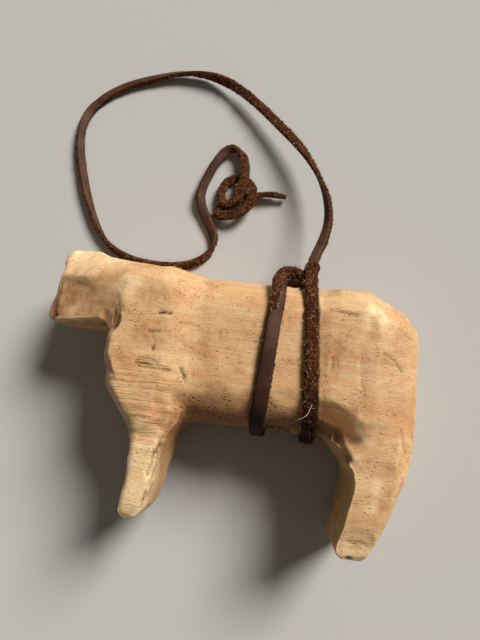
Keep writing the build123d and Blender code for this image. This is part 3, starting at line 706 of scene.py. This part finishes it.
def splinePoints(route, resolution):  # points along the smooth line that a route's points steer
    curve = bpy.data.curves.new("lace_route", "CURVE")
    curve.dimensions = "3D"
    curve.resolution_u = resolution
    spline = curve.splines.new("NURBS")
    spline.points.add(len(route) - 1)
    spline.points.foreach_set("co", np.c_[np.array(route) * perMm, np.ones(len(route))].ravel())
    spline.order_u = 3
    spline.use_endpoint_u = True
    holder = bpy.data.objects.new("lace_route", curve)
    scene.collection.objects.link(holder)
    mesh = bpy.data.meshes.new_from_object(holder)
    found = readPoints(mesh)
    bpy.data.objects.remove(holder)
    bpy.data.meshes.remove(mesh)
    return found


def evenRings(line):  # the same line with rings evenly apart: places, lengths so far, and shares of the old count
    steps = np.linalg.norm(np.diff(line, axis=0), axis=1)
    reach = np.r_[0, np.cumsum(steps)]
    marks = np.linspace(0, reach[-1], int(reach[-1] / lace["ring"]) + 1)
    share = np.interp(marks, reach, np.arange(len(line))) / (len(line) - 1)
    return np.stack([np.interp(marks, reach, line[:, axis]) for axis in range(3)], 1), marks, share


def routeNumbers(share, count):  # which of the route's points each ring is at, counted with fractions
    pulls = np.clip(np.arange(count) - 0.5, 0, count - 2)  # where along the spline each point pulls most
    return np.interp(share * (count - 2), pulls, np.arange(count))


def strapSurface(centre, outward, width, thick, turnOver, rub, edgeNap, seed):
    # a squarish oval carried along the line: the grain's direction is the outward one turned about the line
    rng = np.random.default_rng(seed)
    ahead = unit(np.gradient(centre, axis=0))
    outward = unit(outward - (outward * ahead).sum(1, keepdims=True) * ahead)
    beside = np.cross(ahead, outward)
    turn = np.radians(turnOver)[:, None]
    grain = np.cos(turn) * outward + np.sin(turn) * beside
    across = np.cross(ahead, grain)
    angle = np.linspace(0, 2 * np.pi, lace["around"], endpoint=False)
    wide = np.sign(np.cos(angle)) * np.abs(np.cos(angle)) ** lace["flat"][0]
    high = np.sign(np.sin(angle)) * np.abs(np.sin(angle)) ** lace["flat"][1]
    flesh = 1 - ease(high, 0.15, 0.8) * np.ones((len(centre), 1))
    fuzzy, frayed = (part[:, None] for part in rub)
    rubbed = np.maximum(fuzzy, frayed * ease(wide, -0.35, 0.25))
    rough = rng.normal(size=(len(centre), len(angle)))
    rough = rough + np.roll(rough, 1, 0) + np.roll(rough, 1, 1)
    rough = rough * flesh * lace["rough"] * np.clip(thick, 0, 1)[:, None]
    swell, pitch = lace["swell"]
    swell = 1 + swell * np.sin(np.arange(len(centre)) * pitch * 2 * np.pi * lace["ring"])[:, None]
    wideMm = wide * width[:, None] / 2 * swell
    highMm = high * thick[:, None] / 2
    out = unit(across[:, None] * wide[None, :, None] + grain[:, None] * high[None, :, None])
    rings = centre[:, None] + across[:, None] * wideMm[..., None] + grain[:, None] * highMm[..., None]
    nap = flesh * (edgeNap + (1 - edgeNap) * ease(-high, 0.1, 0.7))  # the fibres stand on the face, fewer on the edges
    return rings + out * rough[..., None], out, np.maximum(flesh, rubbed), np.maximum(nap, rubbed)


def strapMesh(name, rings, flesh):  # rings of points joined by quads, closed at both ends
    count, around = rings.shape[:2]
    ring, point = np.meshgrid(np.arange(count - 1) * around, np.arange(around), indexing="ij")
    after = (point + 1) % around
    quads = np.stack([ring + point, ring + after, ring + around + after, ring + around + point], -1)
    ends = [list(range(around))[::-1], list(range((count - 1) * around, count * around))]
    mesh = bpy.data.meshes.new(name)
    mesh.from_pydata((rings.reshape(-1, 3) * perMm).tolist(), [], quads.reshape(-1, 4).tolist() + ends)
    addValues(mesh, "flesh", flesh)
    smoothFaces(mesh)
    return mesh


fibre = dict(
    lengths=(1.4, 3.2),  # shape of the beta draw, so that most are short
    shortest=0.25,  # mm
    half=(0.04, 0.085),  # mm, half its thickness
    lean=(0.05, 0.6),  # how steeply it stands off the face
    curl=0.7,
    sunk=0.05,  # mm that its root is below the face
    stops=(0.0, 0.4, 0.75, 1.0),  # places along it
    taper=(1.0, 0.85, 0.6),  # its thickness at all of these but the tip
)


def fibreMesh(name, rings, out, nap, count, longest, seed):
    # a fibre is a three-sided spike that lies over: its line is the root plus its way, curling to one side
    rng = np.random.default_rng(seed)
    wide = np.linalg.norm(np.roll(rings, -1, 1) - rings, axis=2)
    chance = (nap * wide)[:-1].ravel()
    ring, point = np.divmod(rng.choice(len(chance), count, p=chance / chance.sum()), rings.shape[1])
    after = (point + 1) % rings.shape[1]
    over, on = rng.uniform(size=(2, count, 1))
    root = (rings[ring, point] * (1 - over) + rings[ring, after] * over) * (1 - on)
    root = root + (rings[ring + 1, point] * (1 - over) + rings[ring + 1, after] * over) * on
    away = unit(out[ring, point] * (1 - over) + out[ring, after] * over)
    flat = unit(np.cross(away, rng.normal(size=(count, 3))))
    way = unit(flat + away * rng.uniform(*fibre["lean"], (count, 1)))
    fall = unit(np.cross(way, rng.normal(size=(count, 3))))
    third = np.cross(way, fall)
    long = (longest * rng.beta(*fibre["lengths"], count) + fibre["shortest"])[:, None, None]
    half = rng.uniform(*fibre["half"], count)[:, None] * fibre["taper"]
    share = np.array(fibre["stops"])[None, :, None]
    line = root[:, None] - fibre["sunk"] * away[:, None] + way[:, None] * long * share
    line = line + fall[:, None] * long * (fibre["curl"] * share**2)
    angle = np.array([0, 2, 4]) * np.pi / 3
    spoke = fall[:, None] * np.cos(angle)[None, :, None] + third[:, None] * np.sin(angle)[None, :, None]
    sides = line[:, :3, None] + spoke[:, None] * half[..., None, None]
    points = np.concatenate([sides.reshape(count, 9, 3), line[:, 3:]], 1)
    points[..., 2] = np.abs(points[..., 2])  # what would go through the floor is folded up
    pattern = [(2, 1, 0, 0)]  # a triangle names its last corner twice
    pattern += [(low + k, low + (k + 1) % 3, low + 3 + (k + 1) % 3, low + 3 + k) for low in (0, 3) for k in range(3)]
    pattern += [(6 + k, 6 + (k + 1) % 3, 9, 9) for k in range(3)]
    faces = (np.arange(count)[:, None, None] * 10 + np.array(pattern)).reshape(-1, 4).tolist()
    faces = [face[:3] if face[2] == face[3] else face for face in faces]
    mesh = bpy.data.meshes.new(name)
    mesh.from_pydata((points.reshape(-1, 3) * perMm).tolist(), [], faces)
    addValues(mesh, "shine", np.repeat(rng.uniform(size=count), 10))
    mesh.update()
    return mesh


laceTones = dict(
    grain=tone(68, 42, 32),
    worn=tone(94, 63, 46),
    scuffed=tone(118, 82, 58),
    nap=tone(84, 41, 19),
    deepNap=tone(36, 15, 8),
    tuft=tone(158, 98, 47),
    deepest=tone(26, 11, 6),
    darkened=tone(26, 11, 7),
    fibre=tone(98, 54, 26),
    lightFibre=tone(172, 116, 58),
    paleFibre=tone(222, 180, 134),
    darkenedFibre=tone(52, 22, 14),
    thread=tone(222, 180, 160),
)


def leatherMaterial():
    bench = nodeBench("thong_leather")
    mm = bench.millimetres()
    ragged = bench.number("SUBTRACT", bench.noise(mm, 1.6, 4.0, 0.65), 0.5)
    side = bench.step(bench.plus(bench.reading("flesh"), bench.times(ragged, 0.9)), 0.35, 0.6)  # 0 grain, 1 flesh
    worn = bench.noise(mm, 0.12, 3.0, 0.55)
    smooth = bench.mix(bench.step(worn, 0.35, 0.65), laceTones["grain"], laceTones["worn"])
    scuff = bench.step(bench.noise(mm, 2.2, 5.0, 0.7), 0.56, 0.72)
    smooth = bench.mix(bench.times(scuff, 0.30), smooth, laceTones["scuffed"])
    nap = bench.noise(mm, 1.3, 5.0, 0.75)
    tuft = bench.noise(mm, 3.6, 3.0, 0.7)
    suede = bench.mix(bench.step(nap, 0.34, 0.62), laceTones["deepNap"], laceTones["nap"])
    suede = bench.mix(bench.step(tuft, 0.56, 0.70, 0.0, 0.7), suede, laceTones["tuft"])
    suede = bench.mix(bench.step(tuft, 0.46, 0.32, 0.0, 0.75), suede, laceTones["deepest"])
    colour = bench.mix(side, smooth, suede)
    bench.shade("Base Color", bench.mix(bench.times(bench.reading("darkened"), 0.85), colour, laceTones["darkened"]))
    bench.shade("Roughness", bench.plus(0.52, bench.times(side, 0.38)))
    bench.shade("Specular IOR Level", 0.12)
    fuzz = bench.plus(bench.times(nap, 0.8), bench.times(tuft, 0.7))
    pebble = bench.times(bench.cells(mm, 2.6), 0.16)
    pebble = bench.times(bench.number("SUBTRACT", 1.0, side), pebble)
    bench.shade("Normal", bench.bump(bench.plus(bench.times(side, fuzz), pebble), 0.0005, 0.9))
    return bench.material


def fibreMaterial():
    bench = nodeBench("leather_fibre")
    shine = bench.reading("shine")
    colour = bench.mix(bench.step(shine, 0.15, 0.6), laceTones["fibre"], laceTones["lightFibre"])
    colour = bench.mix(bench.step(shine, 0.72, 0.97), colour, laceTones["paleFibre"])
    colour = bench.mix(bench.times(bench.reading("darkened"), 0.75), colour, laceTones["darkenedFibre"])
    bench.shade("Base Color", bench.mix(bench.step(shine, 0.98, 1.0), colour, laceTones["thread"]))
    bench.shade("Roughness", bench.plus(0.6, bench.times(shine, 0.2)))
    return bench.material


leather = leatherMaterial()
fibreLook = fibreMaterial()


def turnPoints(start, end, count):  # points round the barrel: a round corner's circle, pulled out to straight sides
    angle = np.radians(np.linspace(start, end, count))
    leanAngle, leanX = np.array(girth["lean"]).T
    way = np.stack([np.cos(angle), np.sin(angle)], 1)
    places = girth["middle"] + girth["halfFlat"] * np.clip(girth["cornerPull"] * way, -1, 1) + girth["radius"] * way
    return np.c_[np.interp(np.degrees(angle), leanAngle, leanX), places]


def layGirth():
    first, second = turnPoints(*girth["firstTurn"]), turnPoints(*girth["secondTurn"])
    route = np.concatenate([girth["root"], first, girth["bight"], second, girth["tuck"]])
    centre, marks, share = evenRings(splinePoints(route, girth["steps"]))
    flat = np.array(girth["halfFlat"])
    axis = girth["middle"] + np.clip(centre[:, 1:] - girth["middle"], -flat, flat)
    outward = np.c_[np.zeros(len(centre)), centre[:, 1:] - axis]
    number = routeNumbers(share, len(route))
    turnOver, width, thick, fuzzy, frayed = (
        np.interp(number, *np.array(girth[key]).T) for key in ("turnOver", "width", "thick", "fuzzy", "frayed")
    )
    onEdge = np.abs(np.sin(np.radians(turnOver)))
    centre = centre + unit(outward) * (girth["edgeLift"] * onEdge)[:, None]
    return centre, outward, width, thick, turnOver, (fuzzy, frayed), marks


def darkened(mesh):  # the girth is darker towards the belly
    return 1 - ease(readPoints(mesh)[:, 1], *girth["darkRange"])


centre, outward, width, thick, turnOver, rub, marks = layGirth()
rings, out, flesh, nap = strapSurface(centre, outward, width, thick, turnOver, rub, girth["edgeNap"], girth["seed"])
girthMesh = strapMesh("girth_lace", rings, flesh)
addValues(girthMesh, "darkened", np.maximum(darkened(girthMesh), girth["grainDarkness"] * (1 - flesh.ravel())))
girthPiece = addPiece("girth_lace", girthMesh, leather, "thong")
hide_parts("girth_turns", "back_hitch")
clear = ease((out * unit(outward)[:, None]).sum(-1), -0.5, 0.0)  # no fibres between the lace and the cow
girthFuzz = fibreMesh("girth_fuzz", rings, out, nap * clear, girth["fibres"], girth["longest"], girth["fibreSeed"])
addValues(girthFuzz, "darkened", darkened(girthFuzz))
addPiece("girth_fuzz", girthFuzz, fibreLook, "thong")
print("girth laid,", round(float(marks[-1]), 1), "mm")

thread = dict(  # a pale loose thread caught on the rear turn
    route=[
        (26.9, -6.7, 38.2), (28.0, -6.3, 38.8), (29.2, -5.4, 39.0), (30.1, -4.3, 38.7), (30.3, -3.1, 38.3),
        (30.9, -1.9, 38.1),
    ],
    steps=10,
    wide=0.12,
    shine=1.0,
    seed=31,
)


def upward(centre):
    return np.tile((0.0, 0.0, 1.0), (len(centre), 1))


def unrubbed(centre):
    return np.zeros((2, len(centre)))


centre = evenRings(splinePoints(thread["route"], thread["steps"]))[0]
wide = np.full(len(centre), thread["wide"])
rings, out, flesh, nap = strapSurface(centre, upward(centre), wide, wide, 0 * wide, unrubbed(centre), 0, thread["seed"])
threadMesh = strapMesh("loose_thread", rings, flesh)
addValues(threadMesh, "shine", np.full(len(threadMesh.vertices), thread["shine"]))
addPiece("loose_thread", threadMesh, fibreLook, "thong")


def layLead():
    centre, marks, share = evenRings(splinePoints(lead["route"], lead["steps"]))
    count, knot = len(lead["route"]), lead["knotPoint"]
    number = routeNumbers(share, count)
    turnOver = np.interp(number, *np.array(lead["turnOver"]).T)
    inKnot = within(number, (knot - 2, knot + 1), (count - 4, count - 2.5))
    width = lead["width"] + (lead["knotWidth"] - lead["width"]) * inKnot
    thick = lead["thick"] + (lead["knotThick"] - lead["thick"]) * inKnot
    width = width + (lead["tailWidth"] - width) * ease(number, count - 2.6, count - 1)
    turn = np.radians(turnOver)
    halfHigh = (width * np.abs(np.sin(turn)) + thick * np.abs(np.cos(turn))) / 2
    settle = within(number, lead["onFloor"], (knot - 7, knot - 2))
    centre[:, 2] -= settle * np.clip(lead["restHeight"] - halfHigh, 0, None)  # a stretch that lies flat comes down
    return centre, width, thick, turnOver, marks


centre, width, thick, turnOver, marks = layLead()
rings, out, flesh, nap = strapSurface(
    centre, upward(centre), width, thick, turnOver, unrubbed(centre), lead["edgeNap"], lead["seed"]
)
leadMesh = strapMesh("lead_lace", rings, flesh)
leadPiece = addPiece("lead_lace", leadMesh, leather, "thong")
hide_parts("lead_thong", "end_knot", "knot_tail")
clear = ease(out[..., 2], -0.6, 0.1)  # no fibres under the lace
leadFuzz = fibreMesh("lead_fuzz", rings, out, nap * clear, lead["fibres"], lead["longest"], lead["fibreSeed"])
leadFuzzPiece = addPiece("lead_fuzz", leadFuzz, fibreLook, "thong")
print("lead laid,", round(float(marks[-1]), 1), "mm")


# Floor, light and camera

studio = dict(
    floorSize=3.0,  # m
    floorTone=tone(191, 190, 187),
    floorRoughness=0.9,
    keyWay=(0.52, 0.59, 0.62),  # towards the light
    keyStrength=4.35,
    keySpread=24,  # degrees
    keyTint=(1.0, 0.97, 0.93),
    fill=0.11,
    fillTint=(1.0, 0.92, 0.80, 1.0),
    eye=(20.96, -6.57, 183.0),  # mm
    right=(0.9900, 0.1193, -0.0750),
    up=(-0.1025, 0.9749, 0.1976),
    back=(0.0967, -0.1879, 0.9774),
    lens=27.0,
    sensor=36.0,
    nearest=0.005,  # m from the camera, below which nothing is drawn
)


def turned(right, up, back):  # a placement from its three axes
    return Matrix(np.stack([right, up, back], 1).tolist()).to_4x4()


def addFloor():
    half = studio["floorSize"] / 2
    mesh = bpy.data.meshes.new("floor")
    mesh.from_pydata([(-half, -half, 0), (half, -half, 0), (half, half, 0), (-half, half, 0)], [], [(0, 1, 2, 3)])
    bench = nodeBench("pale_floor")
    bench.shade("Base Color", studio["floorTone"])
    bench.shade("Roughness", studio["floorRoughness"])
    mesh.materials.append(bench.material)
    floor = bpy.data.objects.new("floor", mesh)
    scene.collection.objects.link(floor)


def addLight():
    lamp = bpy.data.lights.new("key", "SUN")
    lamp.energy = studio["keyStrength"]
    lamp.angle = np.radians(studio["keySpread"])
    lamp.color = studio["keyTint"]
    key = bpy.data.objects.new("key", lamp)
    way = unit(np.array(studio["keyWay"]))
    side = unit(np.cross((0, 0, 1), way))
    key.matrix_world = turned(side, np.cross(way, side), way)
    scene.collection.objects.link(key)
    world = bpy.data.worlds.new("studio")
    world.use_nodes = True
    sky = world.node_tree.nodes["Background"]
    sky.inputs["Color"].default_value = studio["fillTint"]
    sky.inputs["Strength"].default_value = studio["fill"]
    scene.world = world


def addCamera():
    lens = bpy.data.cameras.new("camera")
    lens.lens = studio["lens"]
    lens.sensor_width = studio["sensor"]
    lens.clip_start = studio["nearest"]
    camera = bpy.data.objects.new("camera", lens)
    place = turned(studio["right"], studio["up"], studio["back"])
    place.translation = [value * perMm for value in studio["eye"]]
    camera.matrix_world = place
    scene.collection.objects.link(camera)
    scene.camera = camera


addFloor()
addLight()
addCamera()
print("floor, light and camera set")
